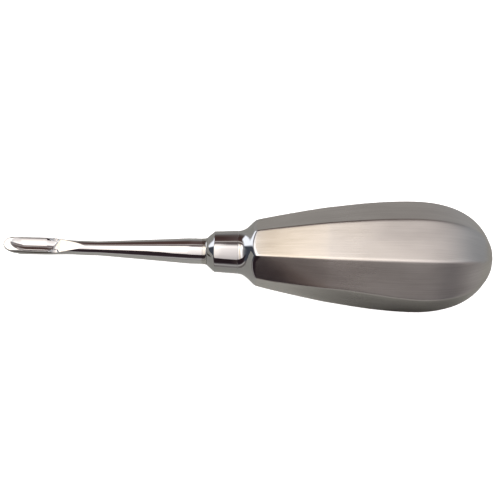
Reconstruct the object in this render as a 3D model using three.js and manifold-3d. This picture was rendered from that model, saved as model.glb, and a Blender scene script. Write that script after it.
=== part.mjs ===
// Dental elevator: a gouge blade on a round shank, a polished ferrule and a hollow eight-sided handle.
// Millimetres. The instrument is drawn along its own axis: x runs from the blade's tip to the butt,
// and z points out of the open side of the blade. It is then laid on a table, with +Z up,
// where it rests on one facet of the handle and on the tip of the blade.
import * as THREE from 'three';
import { mergeVertices } from 'three/addons/utils/BufferGeometryUtils.js';
import Module from 'manifold-3d';

// Blade
const bladeRadius = 2.4;
const bladeFlatness = 0.74;
const bladeRise = 0.62;
const noseLength = 4.2;
const noseHeight = 0.8;
const rimHeight = 1.6;
const troughRadius = 2.66;
const troughHeight = 3.46;
const troughStart = 1.0;
const troughNoseLength = 4.6;
const rimEnd = 11.2;
const saddleAt = 14.5;
const saddleHeight = 0.88;
const dropPull = 1.6;
const saddlePull = 1.4;
const runOutEnd = 24;
const runOutSlope = 0.134;

// Shank and tang
const shankThinRadius = 1.97;
const shankThinFrom = 19.5;
const shankThinTo = 26;
const shankThickRadius = 3.52;
const shankThickFrom = 51.2;
const taperPower = 1.05;
const shoulderAt = 57.5;
const tangRadius = 3.0;
const tangStep = 70;
const tangEndRadius = 2.2;
const tangEnd = 76.5;

// Ferrule
const ferruleStart = 55.9;
const ferruleNoseRadius = 3.72;
const ferruleRim = 58.0;
const ferruleFrontRadius = 5.62;
const ferruleEnd = 64.4;
const ferruleRearRadius = 5.93;
const spigotRadius = 4.9;
const spigotEnd = 69.6;
const pinRadius = 0.8;
const pinAt = 67;
const pinLength = 9.4;
const filletLength = 1.3;
const filletEdge = 0.03;
const filletHollow = 0.05;
const filletTop = 0.12;

// Handle: corner radii of the octagon at stations along the axis
const sides = 8;
const neckBoreRadius = 5.0;
const flareTop = 69.0;
const flareTopRadius = 8.92;
const flareTopSlope = 1.07;
const flareFootPull = 1.85;
const flareFootRise = 0.07;
const flareTopPull = 1.7;
const flareEnd = 70;
const neckRadius = 7.94;
const shoulderRadius = 9.34;
const shoulderSlope = 0.251;
const shoulderPull = 4.8;
const restFrom = 89;
const restTo = 96;
const restRadius = 13.19;
const restSlope = 0.14;
const restPullBefore = 2;
const restPullAfter = 2.4;
const bellyAt = 112.9;
const bellyRadius = 15.43;
const bellyPullBefore = 7.3;
const bellyPullAfter = 18;
const buttEnd = 134.56;
const buttPull = 4.6;
const wall = 1.2;
const bushStart = 71.4;
const bushLength = 4.6;
const bushRadius = 5.6;

// Joints between pieces
const seamWidth = 0.5;
const gap = 0.05;

// How finely round surfaces are cut: segments round the axis
const fineTurning = 64;
const plainTurning = 48;
const shankTurning = 40;
const pinTurning = 24;
const ballSegments = 32;
const ballRings = 20;
const shankStep = 1.5;
const dropSteps = 6;
const frontSteps = 8;
const swellSteps = 5;
const buttSteps = 16;
const flareSteps = 10;
const filletSteps = 4;

const facetAngle = (2 * Math.PI) / sides;
const apothem = Math.cos(facetAngle / 2);
const far = 200;

const wasm = await Module();
wasm.setup();

function toSolid(geometry) {
  const bare = geometry.clone();
  bare.deleteAttribute('normal');
  bare.deleteAttribute('uv');
  const merged = mergeVertices(bare, 1e-5);
  return new wasm.Manifold(new wasm.Mesh({
    numProp: 3,
    vertProperties: new Float32Array(merged.attributes.position.array),
    triVerts: new Uint32Array(merged.index.array),
  }));
}

function toGeometry(solid) {
  const mesh = solid.getMesh();
  const geometry = new THREE.BufferGeometry();
  geometry.setAttribute('position', new THREE.BufferAttribute(mesh.vertProperties, 3));
  geometry.setIndex(new THREE.BufferAttribute(mesh.triVerts, 1));
  geometry.computeVertexNormals();
  return geometry;
}

// Turns an outline of [x, radius] points about the x axis.
function turned(outline, segments = plainTurning) {
  const points = outline.map(([x, radius]) => new THREE.Vector2(radius, x));
  const geometry = new THREE.LatheGeometry(points, segments);
  // A half step puts a flat, not a corner, on top.
  geometry.rotateY(Math.PI / segments);
  geometry.rotateZ(-Math.PI / 2);
  return geometry;
}

function box(x0, x1, y0, y1, z0, z1) {
  const geometry = new THREE.BoxGeometry(x1 - x0, y1 - y0, z1 - z0);
  return geometry.translate((x0 + x1) / 2, (y0 + y1) / 2, (z0 + z1) / 2);
}

// A ball stretched to the half-axes a, b and c.
function ball(x, z, a, b, c) {
  return new THREE.SphereGeometry(1, ballSegments, ballRings).scale(a, b, c).translate(x, 0, z);
}

// An outline of [x, z] points, pushed across the instrument.
function across(outline) {
  const shape = new THREE.Shape(outline.map(([x, z]) => new THREE.Vector2(x, z)));
  const geometry = new THREE.ExtrudeGeometry(shape, { depth: far, bevelEnabled: false });
  return geometry.translate(0, 0, -far / 2).rotateX(Math.PI / 2);
}

function ease(t) {
  const s = Math.min(Math.max(t, 0), 1);
  return s * s * (3 - 2 * s);
}

function curve(from, pullFrom, pullTo, to, steps) {
  const ends = [from, pullFrom, pullTo, to].map(([x, y]) => new THREE.Vector2(x, y));
  const bezier = new THREE.CubicBezierCurve(...ends);
  return bezier.getPoints(steps).map((point) => [point.x, point.y]);
}

// Shank radius: full at the blade, waisted behind it, then a long taper up to the shoulder.
function shankRadius(x) {
  if (x < shankThinTo) {
    return bladeRadius + (shankThinRadius - bladeRadius) * ease((x - rimEnd) / (shankThinFrom - rimEnd));
  }
  const along = Math.min((x - shankThinTo) / (shankThickFrom - shankThinTo), 1);
  return shankThinRadius + (shankThickRadius - shankThinRadius) * along ** taperPower;
}

// How much of the blade's own form is left at x: 1 in the blade, falling to 0 in the shank.
function bladeShare(x) {
  return 1 - ease((x - rimEnd) / (runOutEnd - rimEnd));
}

// The blade is a bar with a flattened underside, and sits a little above the axis of the handle.
function bladeHeight(x, z) {
  const flatness = 1 + (bladeFlatness - 1) * bladeShare(x);
  return (z < 0 ? z * flatness : z) + bladeRise * bladeShare(x);
}

function shankBar() {
  const outline = [[0, 0], [0, bladeRadius]];
  for (let x = 2 * shankStep; x < ferruleStart; x += shankStep) {
    outline.push([x, shankRadius(x)]);
  }
  outline.push([shoulderAt, shankThickRadius], [shoulderAt, tangRadius], [tangStep, tangRadius]);
  outline.push([tangStep, tangEndRadius], [tangEnd, tangEndRadius], [tangEnd, 0]);
  const geometry = turned(outline, shankTurning);
  const position = geometry.attributes.position;
  for (let i = 0; i < position.count; i += 1) {
    position.setZ(i, bladeHeight(position.getX(i), position.getZ(i)));
  }
  return toSolid(geometry);
}

function trough() {
  const from = troughStart + troughNoseLength;
  const height = troughHeight + bladeRise;
  const nose = ball(from, height, troughNoseLength, troughRadius, troughRadius);
  const channel = turned([[from, 0], [from, troughRadius], [saddleAt, troughRadius], [saddleAt, 0]]);
  return toSolid(nose).add(toSolid(channel.translate(0, 0, height)));
}

// The grinding cut over the blade: level over the rims, a dip behind them, and a long rising flat.
function topCut() {
  const rim = rimHeight + bladeRise;
  const dip = saddleHeight + bladeRise;
  const drop = curve([rimEnd, rim], [rimEnd + dropPull, rim],
    [saddleAt - saddlePull, dip], [saddleAt, dip], dropSteps);
  const topOfFlat = saddleHeight + runOutSlope * (runOutEnd - saddleAt);
  return toSolid(across([[-far, rim], ...drop, [runOutEnd, topOfFlat], [runOutEnd, far], [-far, far]]));
}

function bladeAndShank() {
  const depth = noseHeight + bladeRadius * bladeFlatness;
  const nose = ball(noseLength, noseHeight + bladeRise, noseLength, bladeRadius, depth);
  const keep = toSolid(nose).add(toSolid(box(noseLength, far, -far, far, -far, far)));
  return shankBar().intersect(keep).subtract(trough()).subtract(topCut()).subtract(crossPinHole());
}

function crossPin(radius, length) {
  const half = length / 2;
  const geometry = turned([[-half, 0], [-half, radius], [half, radius], [half, 0]], pinTurning);
  return toSolid(geometry.rotateZ(Math.PI / 2).translate(pinAt, 0, 0));
}

function crossPinHole() {
  return crossPin(pinRadius + gap, 2 * neckBoreRadius);
}

function shankBrazeFillet() {
  const inner = shankThickRadius + gap;
  const end = ferruleStart - gap;
  const start = end - filletLength;
  const face = curve([start, inner + filletEdge], [end - filletLength / 3, inner + filletEdge],
    [end - filletLength / 4, inner + filletHollow], [end, ferruleNoseRadius + filletTop], filletSteps);
  return toSolid(turned([[start, inner], ...face, [end, inner], [start, inner]], shankTurning));
}

function neckFerrule() {
  const bore = tangRadius + gap;
  const counterbore = shankThickRadius + gap;
  const seat = shoulderAt + gap;
  const outline = [
    [ferruleStart, counterbore],
    [ferruleStart, ferruleNoseRadius],
    [ferruleRim, ferruleFrontRadius],
    [ferruleEnd, ferruleRearRadius],
    [ferruleEnd, spigotRadius],
    [spigotEnd, spigotRadius],
    [spigotEnd, bore],
    [seat, bore],
    [seat, counterbore],
    [ferruleStart, counterbore],
  ];
  return toSolid(turned(outline, fineTurning)).subtract(crossPinHole());
}

function neckBush() {
  const bore = tangEndRadius + gap;
  const end = bushStart + bushLength;
  return toSolid(turned([[bushStart, bore], [bushStart, bushRadius], [end, bushRadius], [end, bore],
    [bushStart, bore]]));
}

// Corner radius of the octagon: out of the neck, one straight stretch to lie on, the belly, and the butt.
function handleOutline() {
  const restEndRadius = restRadius + restSlope * (restTo - restFrom);
  const front = curve([flareEnd, shoulderRadius],
    [flareEnd + shoulderPull, shoulderRadius + shoulderPull * shoulderSlope],
    [restFrom - restPullBefore, restRadius - restPullBefore * restSlope],
    [restFrom, restRadius], frontSteps);
  const swell = curve([restTo, restEndRadius],
    [restTo + restPullAfter, restEndRadius + restPullAfter * restSlope],
    [bellyAt - bellyPullBefore, bellyRadius], [bellyAt, bellyRadius], swellSteps);
  const butt = curve([bellyAt, bellyRadius], [bellyAt + bellyPullAfter, bellyRadius],
    [buttEnd, buttPull], [buttEnd, 0], buttSteps);
  return [...front, ...swell, ...butt.slice(1)];
}

function octagonBody() {
  const start = ferruleEnd + gap;
  return toSolid(turned([[start, 0], [start, neckRadius], ...handleOutline()], sides));
}

// Round flare that swells out of the ferrule into the handle's shoulder.
function flareBody() {
  const start = ferruleEnd + gap;
  const swell = curve([start, ferruleRearRadius], [start + flareFootPull, ferruleRearRadius + flareFootRise],
    [flareTop - flareTopPull, flareTopRadius - flareTopPull * flareTopSlope],
    [flareTop, flareTopRadius], flareSteps);
  const clear = 2 * bellyRadius;
  const clearAt = flareTop + (clear - flareTopRadius) / flareTopSlope;
  const outline = [[start, 0], ...swell, [clearAt, clear], [far, clear], [far, 0]];
  return toSolid(turned(outline, fineTurning));
}

// The hollow inside the handle, with the bore for the spigot and the seat of the bush in the neck.
function cavity() {
  const wallAtCorner = wall / apothem;
  const bushEnd = bushStart + bushLength;
  const mouth = bushRadius + gap;
  const inner = handleOutline()
    .filter(([x, radius]) => x > bushEnd && radius > 2 * wallAtCorner)
    .map(([x, radius]) => [x - wall * Math.max((x - bellyAt) / (buttEnd - bellyAt), 0) ** 2,
      radius - wallAtCorner]);
  const bore = turned([[0, 0], [0, neckBoreRadius], [bushStart, neckBoreRadius], [bushStart, 0]],
    fineTurning);
  const seat = turned([[bushStart - gap, 0], [bushStart - gap, mouth], [bushEnd, mouth], [bushEnd, 0]]);
  const hollow = turned([[bushEnd - gap, 0], [bushEnd - gap, mouth], ...inner, [buttEnd - wall, 0]], sides);
  return toSolid(hollow).add(toSolid(bore)).add(toSolid(seat));
}

const handleWall = octagonBody().intersect(flareBody()).subtract(cavity());

// Half of the handle: side is 1 for the upper half shell and -1 for the lower one.
function handleShell(side) {
  const from = seamWidth / 2 + gap;
  const half = box(0, far, -far, far, from, far);
  return handleWall.intersect(toSolid(side > 0 ? half : half.rotateX(Math.PI)));
}

// One of the two long welds: side is 1 on the left, looking from the butt, and -1 on the right.
function seamWeld(side) {
  const half = seamWidth / 2;
  const strip = box(0, far, gap / 2, far, -half, half);
  return handleWall.intersect(toSolid(side > 0 ? strip : strip.rotateX(Math.PI)));
}

function polishedSteel() {
  return new THREE.MeshStandardMaterial({ color: 0xc9c8c6, roughness: 0.08, metalness: 1 });
}

function satinSteel() {
  return new THREE.MeshStandardMaterial({ color: 0xa9a6a1, roughness: 0.38, metalness: 1 });
}

function turnedSteel() {
  return new THREE.MeshStandardMaterial({ color: 0x9c9c9a, roughness: 0.5, metalness: 1 });
}

function silverBraze() {
  return new THREE.MeshStandardMaterial({ color: 0xbdb8ad, roughness: 0.25, metalness: 1 });
}

const instrument = new THREE.Group();

function addPiece(name, solid, material) {
  const mesh = new THREE.Mesh(toGeometry(solid), material);
  mesh.name = name;
  instrument.add(mesh);
}

addPiece('blade_and_shank', bladeAndShank(), polishedSteel());
addPiece('shank_braze_fillet', shankBrazeFillet(), silverBraze());
addPiece('neck_ferrule', neckFerrule(), polishedSteel());
addPiece('tang_cross_pin', crossPin(pinRadius, pinLength), turnedSteel());
addPiece('neck_bush', neckBush(), turnedSteel());
addPiece('handle_shell_upper', handleShell(1), satinSteel());
addPiece('handle_shell_lower', handleShell(-1), satinSteel());
addPiece('seam_weld_left', seamWeld(1), satinSteel());
addPiece('seam_weld_right', seamWeld(-1), satinSteel());

// Lays the instrument down: the straight stretch of the lowest facet becomes level.
instrument.rotation.y = -Math.atan(restSlope * apothem);
const lying = new THREE.Group();
lying.add(instrument);
lying.updateMatrixWorld(true);
const bounds = new THREE.Box3().setFromObject(instrument, true);
const centre = bounds.getCenter(new THREE.Vector3());
instrument.position.set(-centre.x, -centre.y, -bounds.min.z);

export default lying;
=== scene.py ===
import math

import bmesh
import bpy
import numpy as np
from mathutils import Matrix, Vector


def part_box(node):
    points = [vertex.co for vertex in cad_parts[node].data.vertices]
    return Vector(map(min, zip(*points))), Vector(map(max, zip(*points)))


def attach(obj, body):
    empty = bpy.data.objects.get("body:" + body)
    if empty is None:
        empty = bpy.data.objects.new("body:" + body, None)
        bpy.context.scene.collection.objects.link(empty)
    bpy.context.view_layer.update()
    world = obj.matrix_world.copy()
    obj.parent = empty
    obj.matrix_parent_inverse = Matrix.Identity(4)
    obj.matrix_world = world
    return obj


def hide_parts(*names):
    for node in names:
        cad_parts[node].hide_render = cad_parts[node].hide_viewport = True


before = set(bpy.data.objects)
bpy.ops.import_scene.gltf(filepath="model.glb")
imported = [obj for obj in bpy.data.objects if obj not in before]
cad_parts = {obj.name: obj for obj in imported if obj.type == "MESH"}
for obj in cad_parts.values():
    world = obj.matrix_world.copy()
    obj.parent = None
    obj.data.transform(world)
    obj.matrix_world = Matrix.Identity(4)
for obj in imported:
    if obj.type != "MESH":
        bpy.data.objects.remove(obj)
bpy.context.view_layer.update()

# The instrument is drawn in millimetres along its own axis: a station is the distance from the blade's
# tip, "up" is out of the open side of the blade, and "side" is across it. Points are side, up and
# station, and add_piece lays each finished mesh down in the frame.
MM = 0.001
SHARP_ANGLE = math.radians(38)
ROUND_STEPS = 96

# Blade
BLADE_RADIUS = 2.4
BLADE_FLATNESS = 0.74
BLADE_RISE = 0.62
NOSE_LENGTH = 4.2
NOSE_HEIGHT = 0.8
RIM_HEIGHT = 1.6
TROUGH_RADIUS = 2.66
TROUGH_HEIGHT = 3.46
TROUGH_FRONT = 5.6
TROUGH_NOSE_LENGTH = 4.6
TROUGH_NOSE_SLANT = 0.55
RIM_END = 11.2
DIP_PULLS = (1.6, 1.4)
SADDLE_AT = 14.5
SADDLE_HEIGHT = 0.88
RUN_OUT_END = 24.0
RUN_OUT_SLOPE = 0.134
STEP_SLANT = 0.58
STEP_DEPTH = 0.30
STEP_LENGTH = 0.70
STEP_LEAD = 2.6
EDGE_BREAK = 0.10
NOSE_EDGE_BREAK = 0.42
NOSE_BREAK_FROM = 1.0
NOSE_BREAK_LENGTH = 5.0
BREAK_SOFTNESS = 0.2
CENTRE_DROP_FROM = 5
CENTRE_DROP_LENGTH = 6
LIP_LIMITS = (0.5, 0.88)
NOSE_SOFTNESS = 0.04
LIP_SOFTNESS = 0.012
HIGHEST_CORNER = math.radians(62)

# Shank and tang
SHANK_THIN_RADIUS = 1.97
SHANK_THIN_FROM = 19.5
SHANK_THIN_TO = 26.0
SHANK_THICK_RADIUS = 3.52
SHANK_THICK_FROM = 51.2
SHANK_TAPER_POWER = 1.05
SHOULDER_AT = 57.5
TANG_RADIUS = 3.0
TANG_STEP = 70.0
TANG_END_RADIUS = 2.2
TANG_END = 76.5

# Ferrule
FERRULE_START = 55.9
FERRULE_NOSE_RADIUS = 3.72
FERRULE_RIM = 58.0
FERRULE_FRONT_RADIUS = 5.62
FERRULE_END = 64.4
FERRULE_REAR_RADIUS = 5.93
SPIGOT_RADIUS = 4.9
SPIGOT_END = 69.6
PIN_AT = 67.0
FIT_GAP = 0.05
BRAZE_GAP = 0.02
FILLET_LENGTH = 1.3

# Handle
FACETS = 8
FACET_ANGLE = 2 * math.pi / FACETS
FLATNESS = math.cos(FACET_ANGLE / 2)
FLARE_START = 64.45
FLARE_TOP = 69.0
FLARE_TOP_RADIUS = 8.92
FLARE_TOP_SLOPE = 1.07
FLARE_PULLS = (1.85, 1.7)
FLARE_FOOT_RISE = 0.07
FLARE_PAST = 20
FRONT_AT = 70.0
FRONT_RADIUS = 9.34
FRONT_SLOPE = 0.251
FRONT_LEAD = 10.0
FRONT_PULL = 4.8
REST_FROM = 89.0
REST_TO = 96.0
REST_RADIUS = 13.19
REST_SLOPE = 0.14
BELLY_AT = 112.9
BELLY_RADIUS = 15.43
SWELL_PULLS = (2.4, 7.3)
BUTT_END = 134.56
BUTT_PULL = 18
BUTT_ROUNDNESS = 4.63
CRISP_EDGES = 130.0
BLUNT_EDGES = 24.0
BLUNTING_FROM = 117.0
REGROWN_FROM = 119.0
REGROWN_LENGTH = 8.0
REGROWN_SHARE = 0.85
WALL = 1.2
INNER_BUTT = 2.4
NECK_BORE_RADIUS = 5.0
BUSH_SEAT_FROM = 71.35
BUSH_SEAT_TO = 76.0
BUSH_SEAT_RADIUS = 5.66
SEAM_HALF_WIDTH = 0.25
SEAM_GAP = 0.01
SATIN_FROM = 69.3
SATIN_PAST_FRONT = 0.45
SATIN_AT_CORNERS = (0.35, 0.9, 0.5, 0.8, 0.6, 0.4, 0.55, 1.35)
SATIN_CORNER_WIDTH = 8.0
EDGE_SOFTNESS = 0.18
# The near lower facet edge was ground a little high along the middle of the handle.
HIGH_EDGE_TURN = -1.5 * FACET_ANGLE
HIGH_EDGE_SHIFT = math.radians(6.3)
HIGH_EDGE_AT = 94.0
HIGH_EDGE_SPAN = 14.6
HIGH_EDGE_FROM = 72
HIGH_EDGE_LEAD = 6


def ease(t):
    t = np.clip(t, 0.0, 1.0)
    return t * t * (3 - 2 * t)


def soft_min(a, b, softness):
    """The smaller of two lengths, with the corner between them rounded."""
    low = np.minimum(a, b)
    return low - softness * np.log1p(np.exp(-np.abs(a - b) / softness))


def bezier(start, pull_start, pull_end, end, steps):
    """Points on a curve that leaves its start towards one pull and reaches its end from the other."""
    t = np.linspace(0.0, 1.0, steps + 1)[:, None]
    a, b, c, d = np.array([start, pull_start, pull_end, end], float)
    s = 1 - t
    return s**3 * a + 3 * s * s * t * b + 3 * s * t * t * c + t**3 * d


def joined(*runs):
    """Several runs of points as one, where each run starts at the point that the last one ended at."""
    return np.vstack([runs[0]] + [run[1:] for run in runs[1:]])


# --- where the instrument lies ---

def lying_matrix():
    """From side, up and station, in metres, to the frame: nose down, on one facet and the tip."""
    tilt = math.atan(REST_SLOPE * FLATNESS)
    along = Vector((math.cos(tilt), 0, math.sin(tilt)))
    up = Vector((-math.sin(tilt), 0, math.cos(tilt)))
    side = up.cross(along)
    low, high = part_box("tang_cross_pin")
    tip = (low + high) / 2 - along * PIN_AT * MM
    rotation = Matrix((side, up, along)).transposed().to_4x4()
    return Matrix.Translation(tip) @ rotation


LYING = lying_matrix()


# --- meshes ---

def add_mesh(name, bm, *materials):
    mesh = bpy.data.meshes.new(name)
    bm.to_mesh(mesh)
    bm.free()
    for material in materials:
        mesh.materials.append(material)
    thing = bpy.data.objects.new(name, mesh)
    bpy.context.scene.collection.objects.link(thing)
    return thing


def add_piece(name, bm, materials, node):
    """A mesh in side, up and station millimetres becomes a piece that lies with the instrument."""
    bmesh.ops.recalc_face_normals(bm, faces=bm.faces)
    bm.transform(LYING @ Matrix.Scale(MM, 4))
    piece = add_mesh(name, bm, *materials)
    piece.data.shade_smooth()
    piece.data.set_sharp_from_angle(angle=SHARP_ANGLE)
    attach(piece, "root")
    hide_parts(node)


def skin_rings(bm, rings, close_ends=False, second_finish_from=math.inf):
    """Quads between rings of points; a ring of one point is a pole."""
    rows = [[bm.verts.new(point) for point in ring] for ring in rings]
    for number, (one, two) in enumerate(zip(rows, rows[1:])):
        count = max(len(one), len(two))
        for i in range(count):
            j = (i + 1) % count
            corners = [one[i % len(one)], one[j % len(one)], two[j % len(two)], two[i % len(two)]]
            face = bm.faces.new(list(dict.fromkeys(corners)))
            face.material_index = int(number >= second_finish_from)
    if close_ends:
        for row in (rows[0], rows[-1]):
            if len(row) > 1:
                bm.faces.new(row)
    return rows


def circle(radius, station):
    turns = (2 * math.pi * (i + 0.5) / ROUND_STEPS for i in range(ROUND_STEPS))
    return [(radius * math.sin(a), radius * math.cos(a), station) for a in turns]


def rounded(outline, steps=5):
    """An outline of (station, radius, fillet) points, with each corner turned by an arc of its fillet."""
    points = []
    count = len(outline)
    for i, (x, r, fillet) in enumerate(outline):
        here = np.array([x, r], float)
        before = np.array(outline[i - 1][:2], float) - here
        after = np.array(outline[(i + 1) % count][:2], float) - here
        if fillet == 0:
            points.append(here)
            continue
        start = here + before / np.linalg.norm(before) * fillet
        end = here + after / np.linalg.norm(after) * fillet
        for t in np.linspace(0, 1, steps):
            points.append((1 - t) ** 2 * start + 2 * t * (1 - t) * here + t * t * end)
    return points


def turned_ring(outline):
    """A closed outline turned about the long axis into a ring."""
    bm = bmesh.new()
    rings = [circle(r, x) for x, r in outline]
    skin_rings(bm, rings + [rings[0]])
    bmesh.ops.remove_doubles(bm, verts=bm.verts, dist=1e-5)
    return bm


# --- blade, shank and tang ---

def shank_radius(x):
    thinning = ease((x - RIM_END) / (SHANK_THIN_FROM - RIM_END))
    thin = BLADE_RADIUS + (SHANK_THIN_RADIUS - BLADE_RADIUS) * thinning
    along = np.clip((x - SHANK_THIN_TO) / (SHANK_THICK_FROM - SHANK_THIN_TO), 0, 1)
    return thin + (SHANK_THICK_RADIUS - SHANK_THIN_RADIUS) * along**SHANK_TAPER_POWER


def blade_share(x):
    """How much of the blade's flattened form a section has: 1 at the blade, 0 on the round shank."""
    return 1 - ease((x - RIM_END) / (RUN_OUT_END - RIM_END))


def ground_height(x):
    """Height of the ground top: level rims, a dip behind them, and the long rising run-out."""
    dip_start, dip_end = RIM_END + DIP_PULLS[0], SADDLE_AT - DIP_PULLS[1]
    if x <= RIM_END:
        return RIM_HEIGHT + BLADE_RISE
    if x <= SADDLE_AT:
        drop = bezier((RIM_END, RIM_HEIGHT), (dip_start, RIM_HEIGHT),
                      (dip_end, SADDLE_HEIGHT), (SADDLE_AT, SADDLE_HEIGHT), 40)
        return float(np.interp(x, drop[:, 0], drop[:, 1])) + BLADE_RISE
    start = SADDLE_HEIGHT + BLADE_RISE
    end = SADDLE_HEIGHT + RUN_OUT_SLOPE * (RUN_OUT_END - SADDLE_AT)
    return start + (end - start) * (x - SADDLE_AT) / (RUN_OUT_END - SADDLE_AT)


def edge_break(x):
    """How far the edge of the ground top is rounded over: most at the nose."""
    return EDGE_BREAK + (NOSE_EDGE_BREAK - EDGE_BREAK) * (
        1 - float(ease((x - NOSE_BREAK_FROM) / NOSE_BREAK_LENGTH)))


def bar_reach(x, turn, centre):
    """From a centre on the middle plane, how far it is to the surface of the uncut bar."""
    radius = shank_radius(x)
    depth = radius * (1 + (BLADE_FLATNESS - 1) * blade_share(x))
    s, c = np.sin(turn), np.cos(turn)
    upper = -centre * s + np.sqrt(radius**2 - (centre * c) ** 2)
    a = (c / radius) ** 2 + (s / depth) ** 2
    b = centre * s / depth**2
    lower = (-b + np.sqrt(b * b - a * ((centre / depth) ** 2 - 1))) / a
    reach = np.where(centre + upper * s >= 0, upper, lower)
    if x >= NOSE_LENGTH:
        return reach
    share = math.sqrt(1 - ((NOSE_LENGTH - x) / NOSE_LENGTH) ** 2)
    wide = BLADE_RADIUS * share
    deep = (NOSE_HEIGHT + BLADE_RADIUS * BLADE_FLATNESS) * share
    off = centre - NOSE_HEIGHT
    a = (c / wide) ** 2 + (s / deep) ** 2
    b = off * s / deep**2
    nose = (-b + np.sqrt(np.maximum(b * b - a * ((off / deep) ** 2 - 1), 0))) / a
    return soft_min(reach, nose, NOSE_SOFTNESS * share)


def spread(low, high, count):
    """Evenly turned points that crowd together at both ends."""
    return low + (high - low) * (1 - np.cos(np.linspace(0, math.pi, count))) / 2


def blade_section(x):
    """One section of the blade or the shank: round underside, two lands, and the trough between them."""
    centre = NOSE_HEIGHT * (1 - float(ease((x - CENTRE_DROP_FROM) / CENTRE_DROP_LENGTH)))
    rise = BLADE_RISE * blade_share(x)
    ground = ground_height(x) - rise
    turns = np.linspace(-math.pi / 2, math.pi / 2, 721)
    reach = bar_reach(x, turns, centre)
    side, up = reach * np.cos(turns), centre + reach * np.sin(turns)
    rounding = edge_break(x)
    above = np.nonzero((up >= ground - rounding) & (turns > -0.6))[0]
    corner = min(turns[above[0]] if len(above) else HIGHEST_CORNER, HIGHEST_CORNER)
    under = np.linspace(-math.pi - corner, corner, 57)
    folded = np.where(under < -math.pi / 2, -math.pi - under, under)
    under_side = np.interp(folded, turns, side) * np.where(under < -math.pi / 2, -1, 1)
    under_up = np.interp(folded, turns, up)
    edge = float(np.interp(corner, turns, side))
    cap = turns >= corner

    def top(v):
        """Height of the ground top and the trough at a distance v from the middle plane."""
        natural = np.interp(np.abs(v), side[cap][::-1], up[cap][::-1])
        height = soft_min(natural, np.full_like(natural, ground), BREAK_SOFTNESS * rounding)
        short = np.maximum(TROUGH_FRONT - x - TROUGH_NOSE_SLANT * v, 0) / TROUGH_NOSE_LENGTH
        radius = TROUGH_RADIUS * np.sqrt(np.maximum(1 - short**2, 1e-6))
        hollow = TROUGH_HEIGHT - np.sqrt(np.maximum(radius**2 - v * v, 0))
        past_end = (x - SADDLE_AT - STEP_SLANT * v) / STEP_LENGTH
        step = ease(-past_end) * ease((x - SADDLE_AT + STEP_LEAD) / STEP_LEAD)
        ending = ease(past_end + 1)
        return soft_min(height, hollow, LIP_SOFTNESS) * (1 - ending) + height * ending - STEP_DEPTH * step

    lip = math.sqrt(max(TROUGH_RADIUS**2 - (TROUGH_HEIGHT - ground) ** 2, 0))
    lip_side = min(max(lip, LIP_LIMITS[0] * edge), LIP_LIMITS[1] * edge)
    trough_side = spread(-lip_side, lip_side, 45)
    trough_up = top(trough_side)
    land = np.linspace(edge, lip_side, 9)[1:-1]
    ring = list(zip(under_side, under_up))
    ring += list(zip(land, top(land)))
    ring += list(zip(trough_side[::-1], trough_up[::-1]))
    ring += list(zip(-land[::-1], top(land[::-1])))
    return [(v, w + rise, x) for v, w in ring]


def blade_stations():
    nose = 5.0 * np.linspace(0.03, 1, 34) ** 1.7
    body = np.linspace(5.0, 10.8, 18)
    saddle = np.linspace(10.8, 16.6, 62)
    run_out = np.linspace(16.6, RUN_OUT_END + 1, 36)
    taper = np.linspace(RUN_OUT_END + 1, FERRULE_START - 0.3, 44)
    return np.unique(np.concatenate([nose, body, saddle, run_out, taper]))


def make_working_end(steel):
    bm = bmesh.new()
    tip_up = NOSE_HEIGHT + BLADE_RISE
    rings = [[(0, tip_up, 0)]] + [blade_section(float(x)) for x in blade_stations()]
    last = np.array(rings[-1])
    unit = last[:, :2] / np.linalg.norm(last[:, :2], axis=1)[:, None]
    steps = [(SHANK_THICK_RADIUS, FERRULE_START + 0.1), (SHANK_THICK_RADIUS, SHOULDER_AT),
             (TANG_RADIUS, SHOULDER_AT), (TANG_RADIUS, TANG_STEP), (TANG_END_RADIUS, TANG_STEP),
             (TANG_END_RADIUS, TANG_END - 0.2), (TANG_END_RADIUS - 0.2, TANG_END)]
    rings += [[(radius * u[0], radius * u[1], x) for u in unit] for radius, x in steps]
    skin_rings(bm, rings, close_ends=True)
    add_piece("working_end", bm, [steel], "blade_and_shank")


# --- ferrule and its braze ---

def make_collar(steel):
    bore = TANG_RADIUS + FIT_GAP
    seat = SHANK_THICK_RADIUS + FIT_GAP
    step = SHOULDER_AT + FIT_GAP
    outline = rounded([
        (FERRULE_START, seat, 0),
        (FERRULE_START, FERRULE_NOSE_RADIUS, 0.06),
        (FERRULE_RIM, FERRULE_FRONT_RADIUS, 0.22),
        (FERRULE_END, FERRULE_REAR_RADIUS, 0.04),
        (FERRULE_END, SPIGOT_RADIUS, 0),
        (SPIGOT_END, SPIGOT_RADIUS, 0.15),
        (SPIGOT_END, bore, 0),
        (step, bore, 0),
        (step, seat, 0),
    ])
    add_piece("neck_collar", turned_ring(outline), [steel], "neck_ferrule")


def make_braze_ring(braze):
    inner = SHANK_THICK_RADIUS + BRAZE_GAP
    end = FERRULE_START - BRAZE_GAP
    start = end - FILLET_LENGTH
    face = bezier((start, inner + 0.015), (end - 0.45, inner + 0.03), (end - 0.2, inner + 0.08),
                  (end, FERRULE_NOSE_RADIUS + 0.08), 10)
    outline = [(start, inner)] + [tuple(point) for point in face] + [(end, inner)]
    add_piece("braze_ring", turned_ring(outline), [braze], "shank_braze_fillet")


# --- handle ---

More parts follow.
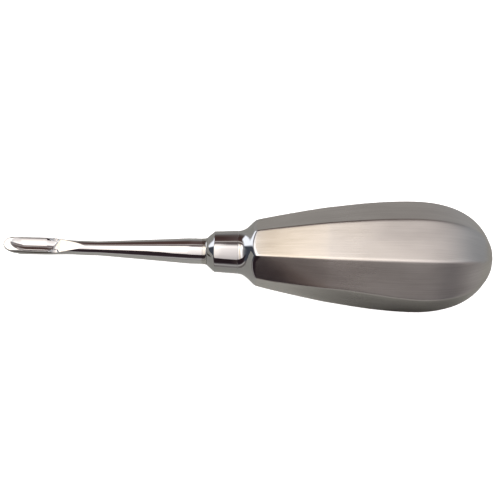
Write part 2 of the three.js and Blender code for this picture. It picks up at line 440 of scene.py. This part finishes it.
def corner_outline():
    """Corner radius of the octagon against station, from the shoulder to the butt."""
    rest_end = REST_RADIUS + REST_SLOPE * (REST_TO - REST_FROM)
    front = bezier((FRONT_AT, FRONT_RADIUS), (FRONT_AT + FRONT_PULL, FRONT_RADIUS + FRONT_PULL * FRONT_SLOPE),
                   (REST_FROM - 2, REST_RADIUS - 2 * REST_SLOPE), (REST_FROM, REST_RADIUS), 300)
    lead = np.array([[FRONT_AT - FRONT_LEAD, FRONT_RADIUS - FRONT_SLOPE * FRONT_LEAD],
                     [FRONT_AT, FRONT_RADIUS]])
    rest = np.array([[REST_FROM, REST_RADIUS], [REST_TO, rest_end]])
    swell = bezier((REST_TO, rest_end), (REST_TO + SWELL_PULLS[0], rest_end + SWELL_PULLS[0] * REST_SLOPE),
                   (BELLY_AT - SWELL_PULLS[1], BELLY_RADIUS), (BELLY_AT, BELLY_RADIUS), 300)
    butt = bezier((BELLY_AT, BELLY_RADIUS), (BELLY_AT + BUTT_PULL, BELLY_RADIUS),
                  (BUTT_END, BUTT_ROUNDNESS), (BUTT_END, 0), 900)
    return joined(lead, front, rest, swell, butt)


OUTLINE = corner_outline()


def edge_crispness(x):
    """How sharp the facet edges are: crisp along the handle, ground away towards the butt."""
    fade = ease((x - BLUNTING_FROM) / (BUTT_END - BLUNTING_FROM))
    return np.exp(np.log(CRISP_EDGES) * (1 - fade) + np.log(BLUNT_EDGES) * fade)


def facet_radius(x, turn):
    """Distance from the axis to the faceted surface. Turn 0 is straight up, on the middle of a facet."""
    flat = np.interp(x, OUTLINE[:, 0], OUTLINE[:, 1]) * FLATNESS
    crisp = edge_crispness(x)
    corner_loss = 2 ** (1 / crisp) - 1
    regrown = 1 + corner_loss * ease((x - REGROWN_FROM) / REGROWN_LENGTH) * REGROWN_SHARE
    facing = sum(np.maximum(np.cos(turn - k * FACET_ANGLE), 0) ** crisp for k in range(FACETS))
    return flat * regrown * facing ** (-1 / crisp)


def flare_outline():
    """Radius of the round flare against station, carried on straight past the facets."""
    first, last = FLARE_PULLS
    curve = bezier((FLARE_START, FERRULE_REAR_RADIUS),
                   (FLARE_START + first, FERRULE_REAR_RADIUS + FLARE_FOOT_RISE),
                   (FLARE_TOP - last, FLARE_TOP_RADIUS - last * FLARE_TOP_SLOPE),
                   (FLARE_TOP, FLARE_TOP_RADIUS), 200)
    past = [FLARE_TOP + FLARE_PAST, FLARE_TOP_RADIUS + FLARE_PAST * FLARE_TOP_SLOPE]
    return joined(curve, np.array([[FLARE_TOP, FLARE_TOP_RADIUS], past]))


FLARE = flare_outline()


def flare_radius(x):
    return np.interp(x, FLARE[:, 0], FLARE[:, 1], right=99.0)


def facet_front(turn):
    """Station where the round flare meets the faceted surface, for each turn."""
    low = np.full_like(turn, FLARE_START)
    high = np.full_like(turn, FLARE_TOP + 4)
    for _ in range(40):
        middle = (low + high) / 2
        outside = flare_radius(middle) > facet_radius(middle, turn)
        high = np.where(outside, middle, high)
        low = np.where(outside, low, middle)
    return (low + high) / 2


def handle_turns():
    """Turns round the handle, crowded at the facet edges."""
    half = np.array([3, 9, 14, 17.5, 19.6, 20.9, 21.6, 22.0, 22.3])
    one = np.concatenate([-half[::-1], half, [22.5]])
    return np.radians(np.concatenate([one + 45.0 * k for k in range(FACETS)]))


def satin_start(turns, front):
    """Station where the satin begins: level, but pushed back where the wheel rode over a corner."""
    start = np.full_like(turns, SATIN_FROM)
    for k, push in enumerate(SATIN_AT_CORNERS):
        off = np.degrees((turns - (k + 0.5) * FACET_ANGLE + math.pi) % (2 * math.pi) - math.pi)
        start += push * np.exp(-((off / SATIN_CORNER_WIDTH) ** 2))
    return np.maximum(start, front + SATIN_PAST_FRONT)


def between(start, end, steps):
    """Rows of stations from start up to, but without, end."""
    return start + (end - start) * np.linspace(0, 1, steps + 1)[:-1, None]


def with_high_edge(side, up, x, turns):
    """Moves the one uneven facet edge up, and the two facets beside it with it, so that they stay flat."""
    shift = HIGH_EDGE_SHIFT * np.exp(-(((x - HIGH_EDGE_AT) / HIGH_EDGE_SPAN) ** 2))
    shift *= ease((x - HIGH_EDGE_FROM) / HIGH_EDGE_LEAD)
    corner = np.interp(x, OUTLINE[:, 0], OUTLINE[:, 1])
    off = (turns - HIGH_EDGE_TURN + math.pi) % (2 * math.pi) - math.pi
    on_facet = np.tan(np.clip(FACET_ANGLE / 2 - np.abs(off), -FACET_ANGLE / 2, FACET_ANGLE / 2))
    share = (on_facet / math.tan(FACET_ANGLE / 2) + 1) / 2
    move_side = corner * (np.sin(HIGH_EDGE_TURN + shift) - math.sin(HIGH_EDGE_TURN))
    move_up = corner * (np.cos(HIGH_EDGE_TURN + shift) - math.cos(HIGH_EDGE_TURN))
    return side + share * move_side, up + share * move_up


def outer_rings():
    """The outside of the handle, flare first, and the number of the ring where its satin starts."""
    turns = handle_turns()
    front = facet_front(turns)
    satin = satin_start(turns, front)
    dome = joined(bezier((BELLY_AT, 0), (BELLY_AT + BUTT_PULL, 0), (BUTT_END, 0), (BUTT_END, 0), 56))[:-1, :1]
    polished = np.vstack([between(FLARE_START, front - 1.0, 20), between(front - 1.0, front + 0.4, 20),
                          between(front + 0.4, satin, 5)])
    grip = np.vstack([between(satin, satin + 2.0, 12), between(satin + 2.0, BELLY_AT, 84),
                      np.broadcast_to(dome, (len(dome), len(turns)))])
    stations = np.vstack([polished, grip])
    radii = soft_min(facet_radius(stations, turns), flare_radius(stations), EDGE_SOFTNESS)
    rings = []
    for r, x in zip(radii, stations):
        rings.append(list(zip(*with_high_edge(r * np.sin(turns), r * np.cos(turns), x, turns), x)))
    return rings + [[(0, 0, BUTT_END)]], len(polished)


def inner_rings():
    """The neck bore, the seat of the bush, and a wall's thickness inside the grip."""
    turns = handle_turns()
    rings = []
    for radius, x in ((NECK_BORE_RADIUS, FLARE_START), (NECK_BORE_RADIUS, BUSH_SEAT_FROM),
                      (BUSH_SEAT_RADIUS, BUSH_SEAT_FROM), (BUSH_SEAT_RADIUS, BUSH_SEAT_TO)):
        rings.append([(radius * math.sin(a), radius * math.cos(a), x) for a in turns])
    grip = np.linspace(BUSH_SEAT_TO, BELLY_AT, 20)
    butt = np.linspace(BELLY_AT, BUTT_END - INNER_BUTT, 22)[1:]
    for x in np.concatenate([grip, butt]):
        shift = WALL * max((x - BELLY_AT) / (BUTT_END - BELLY_AT), 0) ** 2
        radius = facet_radius(np.full_like(turns, x + shift), turns) - WALL
        side, up = with_high_edge(radius * np.sin(turns), radius * np.cos(turns), x, turns)
        rings.append(list(zip(side, up, np.full_like(turns, x))))
    return rings + [[(0, 0, BUTT_END - WALL)]]


def handle_body():
    """The whole hollow handle as one closed mesh; its second finish, satin, starts past the flare."""
    bm = bmesh.new()
    rings, satin_row = outer_rings()
    outer = skin_rings(bm, rings, second_finish_from=satin_row)
    inner = skin_rings(bm, inner_rings())
    count = len(outer[0])
    for i in range(count):
        j = (i + 1) % count
        bm.faces.new([outer[0][i], outer[0][j], inner[0][j], inner[0][i]])
    return bm


def keep_side(bm, point, direction):
    """Cuts the mesh by a plane, keeps what lies along direction, and closes the cut."""
    geometry = list(bm.verts) + list(bm.edges) + list(bm.faces)
    cut = bmesh.ops.bisect_plane(bm, geom=geometry, dist=1e-6, plane_co=point, plane_no=direction,
                                 clear_inner=True)
    edges = [item for item in cut["geom_cut"] if isinstance(item, bmesh.types.BMEdge)]
    bmesh.ops.holes_fill(bm, edges=edges, sides=0)


def make_handle(steel, satin):
    seam = SEAM_HALF_WIDTH + SEAM_GAP
    for up, word in ((1, "upper"), (-1, "lower")):
        half = handle_body()
        keep_side(half, (0, up * seam, 0), (0, up, 0))
        add_piece("handle_half_" + word, half, [steel, satin], "handle_shell_" + word)
    for side, word in ((1, "left"), (-1, "right")):
        weld = handle_body()
        keep_side(weld, (0, SEAM_HALF_WIDTH, 0), (0, -1, 0))
        keep_side(weld, (0, -SEAM_HALF_WIDTH, 0), (0, 1, 0))
        keep_side(weld, (side * SEAM_GAP, 0, 0), (side, 0, 0))
        add_piece("weld_seam_" + word, weld, [steel, satin], "seam_weld_" + word)


# --- finishes ---

class Value:
    """A shader socket or number that takes part in Python arithmetic."""

    def __init__(self, tree, socket):
        self.tree = tree
        self.socket = socket

    def maths(self, operation, *others, swap=False):
        operands = [self, *others]
        if swap:
            operands.reverse()
        node = self.tree.node("ShaderNodeMath", {"operation": operation}, dict(enumerate(operands)))
        return Value(self.tree, node.outputs[0])

    def __add__(self, other):
        return self.maths("ADD", other)

    def __mul__(self, other):
        return self.maths("MULTIPLY", other)

    def __sub__(self, other):
        return self.maths("SUBTRACT", other)

    def __rsub__(self, other):
        return self.maths("SUBTRACT", other, swap=True)

    def __pow__(self, other):
        return self.maths("POWER", other)

    def clamped(self):
        return self.maths("MAXIMUM", 0.0).maths("MINIMUM", 1.0)

    __radd__ = __add__
    __rmul__ = __mul__


class Tree:
    """A material's or the world's node tree."""

    def __init__(self, owner, on_instrument=False):
        self.on_instrument = on_instrument
        owner.use_nodes = True
        self.nodes = owner.node_tree.nodes
        self.links = owner.node_tree.links
        self.nodes.clear()

    def node(self, kind, settings=None, values=None):
        made = self.nodes.new(kind)
        for name, value in (settings or {}).items():
            if name == "stops":
                self.set_stops(made.color_ramp, value)
            else:
                setattr(made, name, value)
        for name, value in (values or {}).items():
            socket = made.inputs[name]
            if isinstance(value, Value):
                self.links.new(value.socket, socket)
            else:
                socket.default_value = value
        return made

    def set_stops(self, ramp, stops):
        while len(ramp.elements) < len(stops):
            ramp.elements.new(1.0)
        for element, (place, colour) in zip(ramp.elements, stops):
            element.position = place
            element.color = (*colour, 1.0)

    def out(self, made, name=0):
        return Value(self, made.outputs[name])

    def place(self, scale):
        """Side, up and station in millimetres, or a studio piece's own x, y and z, times a scale for each."""
        coordinates = self.out(self.node("ShaderNodeTexCoord"), "Object")
        if self.on_instrument:
            upright = LYING.inverted()
            coordinates = self.out(self.node("ShaderNodeMapping", {"vector_type": "POINT"}, {
                "Vector": coordinates, "Location": upright.to_translation(), "Rotation": upright.to_euler()}))
        made = self.node("ShaderNodeVectorMath", {"operation": "MULTIPLY"},
                         {0: coordinates, 1: [1000 * s for s in scale]})
        return self.out(made)

    def station_rise(self, low, high):
        """Rises from 0 to 1 between two stations along the instrument."""
        parts = self.node("ShaderNodeSeparateXYZ", None, {0: self.place((1, 1, 1))})
        made = self.node("ShaderNodeMapRange", {"interpolation_type": "SMOOTHSTEP"},
                         {0: self.out(parts, "Z"), 1: low, 2: high})
        return self.out(made)

    def noise(self, place, detail=3.0, roughness=0.55):
        made = self.node("ShaderNodeTexNoise", None,
                         {"Vector": place, "Scale": 1.0, "Detail": detail, "Roughness": roughness})
        return self.out(made, "Factor" if "Factor" in made.outputs else "Fac")

    def facet_place(self, across, along):
        """Coordinates on the facets themselves: across the facet, which facet, and along the handle."""
        parts = self.node("ShaderNodeSeparateXYZ", None, {0: self.place((1, 1, 1))})
        side, up, station = (self.out(parts, axis) for axis in "XYZ")
        turn = side.maths("ARCTAN2", up)
        facet = (turn * (1 / FACET_ANGLE)).maths("ROUND")
        reach = (side * side + up * up) ** 0.5
        off_middle = reach * (turn - facet * FACET_ANGLE).maths("SINE")
        made = self.node("ShaderNodeCombineXYZ", None,
                         {0: off_middle * across, 1: facet * 13.7, 2: station * along})
        return self.out(made)

    def blend(self, share, one, two):
        """From colour one to colour two, as share goes from 0 to 1."""
        return self.out(self.node("ShaderNodeMix", {"data_type": "RGBA"}, {0: share, 6: one, 7: two}), 2)

    def bump(self, height, strength, distance):
        made = self.node("ShaderNodeBump", None,
                         {"Height": height, "Strength": strength, "Distance": distance})
        return self.out(made)

    def surface(self, values):
        shader = self.node("ShaderNodeBsdfPrincipled", None, values)
        self.node("ShaderNodeOutputMaterial", None, {"Surface": self.out(shader)})

    def metal(self, colour, roughness, normal, anisotropy=0.0):
        self.surface({"Base Color": colour, "Roughness": roughness, "Normal": normal,
                      "Metallic": 1.0, "Anisotropic": anisotropy})

    def matte(self, colour, glow=None, strength=0.0):
        self.surface({"Base Color": colour, "Roughness": 0.9, "Specular IOR Level": 0.0,
                      "Emission Color": glow or rgb(1, 1, 1), "Emission Strength": strength})


def rgb(r, g, b):
    return (r, g, b, 1.0)


def new_finish(name, on_instrument=True):
    material = bpy.data.materials.new(name)
    return material, Tree(material, on_instrument)


def satin_finish():
    """Stainless steel brushed along the handle with a fine abrasive belt."""
    material, tree = new_finish("satin_steel")
    hairlines = tree.noise(tree.facet_place(9.0, 0.12), 3.0, 0.7)
    strokes = tree.noise(tree.facet_place(3.4, 0.04), 2.0, 0.6)
    clouds = tree.noise(tree.facet_place(0.16, 0.07), 2.0)
    tone = ((strokes - 0.5) * 0.9 + (clouds - 0.5) * 1.3 + (hairlines - 0.5) * 0.8 + 0.5).clamped()
    colour = tree.blend(tone, rgb(0.51, 0.485, 0.46), rgb(0.67, 0.642, 0.612))
    roughness = 0.17 + 0.09 * hairlines + 0.07 * (clouds - 0.5) + 0.12 * tree.station_rise(74, 118)
    normal = tree.bump(hairlines * 0.7 + strokes * 0.5, 0.22, 0.00003)
    tree.metal(colour, roughness, normal, anisotropy=0.4)
    return material


def polished_finish(name, dull, bright):
    """Stainless steel polished on a soft wheel, with faint hairlines round the instrument."""
    material, tree = new_finish(name)
    hairlines = tree.noise(tree.place((0.6, 0.6, 11.0)), 3.0, 0.6)
    ripple = tree.noise(tree.place((0.35, 0.35, 0.5)), 2.0)
    smear = tree.noise(tree.place((0.5, 0.5, 0.22)), 3.0)
    colour = tree.blend(smear, dull, bright)
    roughness = 0.035 + 0.05 * hairlines * smear
    normal = tree.bump(ripple + hairlines * 0.02, 0.12, 0.0001)
    tree.metal(colour, roughness, normal)
    return material


def braze_finish():
    """Silver braze, polished with the steel beside it but a little softer and warmer."""
    material, tree = new_finish("silver_braze")
    grain = tree.noise(tree.place((1.6, 1.6, 1.6)), 4.0)
    colour = tree.blend(grain, rgb(0.56, 0.545, 0.51), rgb(0.64, 0.62, 0.585))
    tree.metal(colour, 0.09 + 0.1 * grain, tree.bump(grain, 0.15, 0.00005))
    return material


def turned_finish():
    """Plain lathe-turned steel with fine tool marks."""
    material, tree = new_finish("turned_steel")
    marks = tree.noise(tree.place((0.3, 0.3, 7.0)), 2.0)
    colour = tree.blend(marks, rgb(0.46, 0.455, 0.45), rgb(0.56, 0.555, 0.55))
    tree.metal(colour, 0.38 + 0.15 * marks, tree.bump(marks, 0.3, 0.00005))
    return material


# --- the studio ---

def square(x0, y0, x1, y1):
    return [(x0, y0), (x1, y0), (x1, y1), (x0, y1)]


def add_stage(name, corners, height, material):
    """A level card of the studio; its corners and height are in millimetres."""
    bm = bmesh.new()
    bm.faces.new([bm.verts.new((x * MM, y * MM, 0)) for x, y in corners])
    card = add_mesh(name, bm, material)
    card.location.z = height * MM
    return card


def only_in_mirror_images(card):
    card.visible_camera = False
    card.visible_diffuse = False
    card.visible_shadow = False


def floor_finish():
    """White floor, lit from within a little so that it stays white."""
    material, tree = new_finish("pale_floor", on_instrument=False)
    mottle = tree.noise(tree.place((0.01, 0.01, 0.01)), 2.0)
    colour = tree.blend(mottle, rgb(0.86, 0.86, 0.86), rgb(0.88, 0.88, 0.88))
    tree.matte(colour, strength=0.5)
    return material


# Painted shade and painted light on the mat, which only the metal's reflections show: the dark patches are
# painted contact shadows beside the blade's near side, round the nose and beside the handle's belly, and the
# pale one is painted light under the blade. Centre, half-widths in millimetres, strength and colour.
MAT_PAINTED_SHADE_AND_LIGHT = [
    ((-60.0, -12.0), (13.0, 8.0), 1.8, (0.05, 0.036, 0.026)),
    ((-54.0, 1.0), (11.0, 6.0), 1.5, (0.95, 0.95, 0.93)),
    ((-72.0, 0.0), (7.0, 10.0), 2.5, (0.03, 0.026, 0.022)),
    ((48.0, -17.0), (38.0, 9.0), 1.15, (0.02, 0.018, 0.018)),
]


def mat_finish():
    """The grey bench mat that the polished parts mirror, with painted contact shadows and a painted pool of
    light on it.
    """
    material, tree = new_finish("bench_mat", on_instrument=False)
    mottle = tree.noise(tree.place((0.03, 0.03, 0.03)), 2.0)
    colour = tree.blend(mottle, rgb(0.42, 0.415, 0.39), rgb(0.48, 0.475, 0.45))
    # Each patch blends painted shade or painted light into the mat's colour.
    for centre, half, strength, painted_colour in MAT_PAINTED_SHADE_AND_LIGHT:
        offset = tree.node("ShaderNodeVectorMath", {"operation": "SUBTRACT"},
                           {0: tree.place((1, 1, 1)), 1: (*centre, 0)})
        reach = tree.node("ShaderNodeVectorMath", {"operation": "MULTIPLY"},
                          {0: tree.out(offset), 1: (1 / half[0], 1 / half[1], 0)})
        far = tree.out(tree.node("ShaderNodeVectorMath", {"operation": "LENGTH"}, {0: tree.out(reach)}), 1)
        colour = tree.blend(((1 - far).clamped() * strength).clamped(), colour, rgb(*painted_colour))
    tree.matte(colour)
    return material


# Outline of the dark card that hangs over the near side of the shank, in millimetres.
DARK_CARD = [(-60, -16), (-50, -15), (-43, -12.5), (-34, -12), (-27, -18), (-15, -20), (2, -24), (16, -30),
             (16, -70), (-4, -160), (-110, -160), (-66, -40)]
DARK_CARD_HEIGHT = 24.0
FLOOR_HEIGHT = -0.05
BACKDROP_RADIUS = 2.9
BACKDROP_HEIGHT = 3.0


def card_finish():
    """A dark card seen only in the metal's reflections; it is not lit but glows dimly, browner and paler to
    the right and next to the instrument.
    """
    material, tree = new_finish("dark_card", on_instrument=False)
    mottle = tree.noise(tree.place((0.05, 0.05, 0.05)), 2.0)
    card_glow = tree.blend(mottle, rgb(0.022, 0.014, 0.018), rgb(0.042, 0.028, 0.034))
    parts = tree.node("ShaderNodeSeparateXYZ", None, {0: tree.place((1, 1, 1))})
    right = tree.node("ShaderNodeMapRange", None, {0: tree.out(parts, "X"), 1: -8.0, 2: 20.0})
    close = tree.node("ShaderNodeMapRange", None, {0: tree.out(parts, "Y"), 1: -20.0, 2: -9.0})
    card_glow = tree.blend(tree.out(close), card_glow, rgb(0.085, 0.062, 0.060))
    card_glow = tree.blend(tree.out(right), card_glow, rgb(0.24, 0.18, 0.16))
    # The card's colour is all emitted glow: painted light that the shank mirrors.
    tree.matte(rgb(0, 0, 0), card_glow, 1.0)
    return material


def make_backdrop(material):
    """A round pale wall that stands on the edge of the floor."""
    bm = bmesh.new()
    low, high = ([bm.verts.new((BACKDROP_RADIUS * u, BACKDROP_RADIUS * v, z)) for u, v, _ in circle(1, 0)]
                 for z in (-0.01, BACKDROP_HEIGHT))
    for i in range(len(low)):
        j = (i + 1) % len(low)
        bm.faces.new([low[i], low[j], high[j], high[i]])
    wall = add_mesh("backdrop", bm, material)
    wall.visible_glossy = False
    wall.visible_diffuse = False
    wall.visible_shadow = False


def make_ground():
    """The white floor and backdrop, and the mat and the card that only the metal's mirror images show."""
    pale = floor_finish()
    floor = add_stage("floor", square(-3000, -3000, 3000, 3000), FLOOR_HEIGHT, pale)
    floor.visible_glossy = False
    make_backdrop(pale)
    only_in_mirror_images(add_stage("bench_mat", square(-160, -30, 160, 38), FLOOR_HEIGHT, mat_finish()))
    only_in_mirror_images(add_stage("dark_card", DARK_CARD, DARK_CARD_HEIGHT, card_finish()))


# Brightness and colour of the room against the angle round the instrument, in degrees.
ROOM = [
    (-180, (0.16, 0.15, 0.15)),
    (-168, (0.38, 0.37, 0.36)),
    (-150, (0.46, 0.45, 0.43)),
    (-90, (0.46, 0.45, 0.43)),
    (-30, (0.42, 0.41, 0.39)),
    (-22, (0.28, 0.26, 0.25)),
    (-18, (0.16, 0.14, 0.13)),
    (-11, (0.30, 0.28, 0.27)),
    (-5, (0.72, 0.70, 0.68)),
    (-2, (0.30, 0.28, 0.28)),
    (1, (0.060, 0.048, 0.052)),
    (10, (0.050, 0.038, 0.044)),
    (14, (0.17, 0.145, 0.14)),
    (33, (0.24, 0.20, 0.20)),
    (108, (0.16, 0.13, 0.13)),
    (116, (0.22, 0.18, 0.18)),
    (126, (0.12, 0.09, 0.09)),
    (129, (0.60, 0.55, 0.53)),
    (133, (0.60, 0.55, 0.53)),
    (136, (0.12, 0.075, 0.07)),
    (160, (0.08, 0.045, 0.04)),
    (176, (0.13, 0.10, 0.09)),
    (180, (0.16, 0.15, 0.15)),
]
# How much the near wall of the room is lit, from left to right.
NEAR_WALL = [
    (-1.0, 0.0), (-0.30, 0.0), (-0.10, 0.33), (0.10, 0.50), (0.30, 0.35), (0.42, 0.10), (0.52, 0.0),
    (0.64, 0.40), (0.85, 0.70), (1.0, 0.90),
]
# Brightness of the softbox round the instrument and along it, and where its left end is wider.
SOFTBOX_ACROSS = [
    (-180, 0.0), (30, 0.0), (33, 0.7), (44, 0.8), (55, 1.05), (66, 1.2),
    (77, 1.35), (88, 1.5), (98, 1.9), (104, 1.7), (108, 1.0), (112, 0.45), (116, 0.0), (180, 0.0),
]
SOFTBOX_ALONG = [
    (-1.0, (0.0, 0.0, 0.0)), (-0.80, (0.3, 0.3, 0.3)), (-0.70, (1.5, 1.5, 1.5)), (-0.58, (1.7, 1.65, 1.6)),
    (-0.52, (1.00, 0.91, 0.81)), (-0.48, (0.66, 0.57, 0.41)), (-0.44, (0.98, 0.84, 0.61)),
    (-0.41, (1.45, 1.28, 1.04)), (-0.36, (1.32, 1.24, 1.15)), (-0.29, (1.15, 1.10, 1.05)),
    (-0.25, (0.95, 0.91, 0.88)), (-0.15, (0.88, 0.84, 0.82)), (0.0, (0.82, 0.79, 0.77)),
    (0.15, (0.80, 0.77, 0.76)), (0.28, (0.69, 0.67, 0.66)), (0.47, (0.44, 0.43, 0.43)),
    (0.62, (0.27, 0.27, 0.28)), (0.80, (0.10, 0.10, 0.11)), (1.0, (0.0, 0.0, 0.0)),
]
SOFTBOX_WIDER = [
    (-180, 0.0), (103, 0.0), (108, 0.3), (113, 0.8), (117, 0.5), (120, 0.0), (180, 0.0),
]
# Ramps hold nothing brighter than 1, so the softbox is divided by these and multiplied up again.
ACROSS_TOP = 3
ALONG_TOP = 2


def make_world():
    """A dim room round a large softbox, as polished steel sees it."""
    world = bpy.data.worlds.new("studio")
    bpy.context.scene.world = world
    tree = Tree(world)
    coordinates = tree.out(tree.node("ShaderNodeTexCoord"), "Generated")
    parts = tree.node("ShaderNodeSeparateXYZ", None, {0: coordinates})
    x, y, z = (tree.out(parts, axis) for axis in "XYZ")
    across = z.maths("ARCTAN2", y * -1.0) * (0.5 / math.pi) + 0.5

    def ramp(place, stops, low, high):
        scaled = [((at - low) / (high - low), c if isinstance(c, tuple) else (c, c, c)) for at, c in stops]
        return tree.out(tree.node("ShaderNodeValToRGB", {"stops": scaled}, {"Fac": place}))

    def rise(value, low, high):
        return tree.out(tree.node("ShaderNodeMapRange", {"interpolation_type": "SMOOTHSTEP"},
                                  {0: value, 1: low, 2: high}))

    room = ramp(across, ROOM, -180, 180)
    box = ramp(across, [(at, v / ACROSS_TOP) for at, v in SOFTBOX_ACROSS], -180, 180)
    wider = ramp(across, [(at, v / ACROSS_TOP) for at, v in SOFTBOX_WIDER], -180, 180)
    box = box + wider * (1 - rise(x, -0.27, -0.17))
    along = ramp(x * 0.5 + 0.5, [(at, tuple(v / ALONG_TOP for v in c)) for at, c in SOFTBOX_ALONG], -1, 1)
    dimly = 1 - rise(z, 0.62, 0.9)
    near = rise(y * -1.0, 0.0, 0.25) * dimly
    wall = ramp(x * 0.5 + 0.5, NEAR_WALL, -1, 1)
    room = tree.blend(rise(x, -0.22, 0.12) * 0.3 * dimly * (1 - near), room, rgb(0.40, 0.37, 0.37))
    room = tree.blend(rise(x, 0.15, 0.85) * (1 - near), room, rgb(0.39, 0.41, 0.44))
    room = tree.blend(near * wall, room, rgb(0.41, 0.395, 0.40))
    doorway = near * rise(x, 0.32, 0.44) * (1 - rise(x, 0.52, 0.64)) * 0.6
    room = tree.blend(doorway, room, rgb(0.03, 0.04, 0.07))
    room = tree.blend(rise(x * -1.0, 0.76, 0.90) * rise(z, -0.16, -0.08), room, rgb(0.075, 0.085, 0.11))
    window = rise(y, 0.20, 0.30) * (1 - rise(y, 0.72, 0.85)) * rise(z, -0.20, -0.08)
    window = window * (1 - rise(z, 0.30, 0.55)) * rise(x * -1.0, 0.50, 0.66)
    room = tree.blend(window, room, rgb(1.65, 1.72, 1.85))
    lit = tree.out(tree.node("ShaderNodeVectorMath", {"operation": "SCALE"},
                             {0: along, "Scale": box * (ACROSS_TOP * ALONG_TOP)}))
    total = tree.out(tree.node("ShaderNodeVectorMath", {"operation": "ADD"}, {0: room, 1: lit}))
    background = tree.node("ShaderNodeBackground", None, {"Color": total, "Strength": 1.0})
    tree.node("ShaderNodeOutputWorld", None, {"Surface": tree.out(background)})


LIGHT_AT = Vector((-0.3, -0.3, 1.0))
LIGHT_TOWARDS = Vector((-0.3, -0.3, 0.0))
LIGHT_SIZE = 1.6
LIGHT_BRIGHTNESS = 2.4


def make_light():
    """A large soft light overhead; the metal mirrors the world's softbox in its place."""
    light = bpy.data.lights.new("softbox", "AREA")
    light.shape = "RECTANGLE"
    light.size = light.size_y = LIGHT_SIZE
    light.energy = LIGHT_BRIGHTNESS * LIGHT_SIZE * LIGHT_SIZE * math.pi
    lamp = bpy.data.objects.new("softbox", light)
    bpy.context.scene.collection.objects.link(lamp)
    lamp.location = LIGHT_AT
    lamp.rotation_mode = "QUATERNION"
    lamp.rotation_quaternion = (LIGHT_TOWARDS - LIGHT_AT).to_track_quat("-Z", "Y")
    lamp.visible_camera = False
    lamp.visible_glossy = False


# --- the camera ---

VIEW_ABOVE_FACET = math.radians(18.3)
CAMERA_DISTANCE = 0.300
SENSOR_WIDTH = 36.0
FRAME_WIDTH = 0.13805
LOOK_AT_STATION = 67.8
LOOK_ABOVE_AXIS = 0.70
ROLL = math.radians(1.59)


def make_camera():
    """Looks square onto the instrument's axis, a little to the near side of the top facet."""
    back = LYING.to_3x3() @ Vector((-math.sin(VIEW_ABOVE_FACET), math.cos(VIEW_ABOVE_FACET), 0))
    along = LYING.to_3x3() @ Vector((0, 0, 1))
    picture_up = back.cross(along)
    turn = Matrix.Rotation(ROLL, 3, back)
    right, picture_up = turn @ along, turn @ picture_up
    aim = LYING @ Vector((0, 0, LOOK_AT_STATION * MM)) + picture_up * LOOK_ABOVE_AXIS * MM
    data = bpy.data.cameras.new("camera")
    data.sensor_width = SENSOR_WIDTH
    data.lens = SENSOR_WIDTH * CAMERA_DISTANCE / FRAME_WIDTH
    data.clip_start = 0.01
    camera = bpy.data.objects.new("camera", data)
    bpy.context.scene.collection.objects.link(camera)
    axes = Matrix((right, picture_up, back)).transposed().to_4x4()
    camera.matrix_world = Matrix.Translation(aim + back * CAMERA_DISTANCE) @ axes
    bpy.context.scene.camera = camera


# --- assembly ---

def finish_node(name, material):
    """Gives a turned part of the CAD model, kept as it is, its finish."""
    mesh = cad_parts[name].data
    mesh.materials.clear()
    mesh.materials.append(material)


def main():
    make_camera()
    make_world()
    make_light()
    make_ground()
    satin = satin_finish()
    polished = polished_finish("polished_steel", rgb(0.53, 0.522, 0.522), rgb(0.59, 0.582, 0.582))
    hard_polished = polished_finish("hard_polished_steel", rgb(0.70, 0.69, 0.685), rgb(0.78, 0.77, 0.765))
    braze, turned = braze_finish(), turned_finish()
    make_working_end(hard_polished)
    make_collar(polished)
    make_braze_ring(braze)
    make_handle(polished, satin)
    finish_node("tang_cross_pin", turned)
    finish_node("neck_bush", turned)
    view = bpy.context.scene.view_settings
    view.view_transform = "Standard"
    view.look = "None"


main()
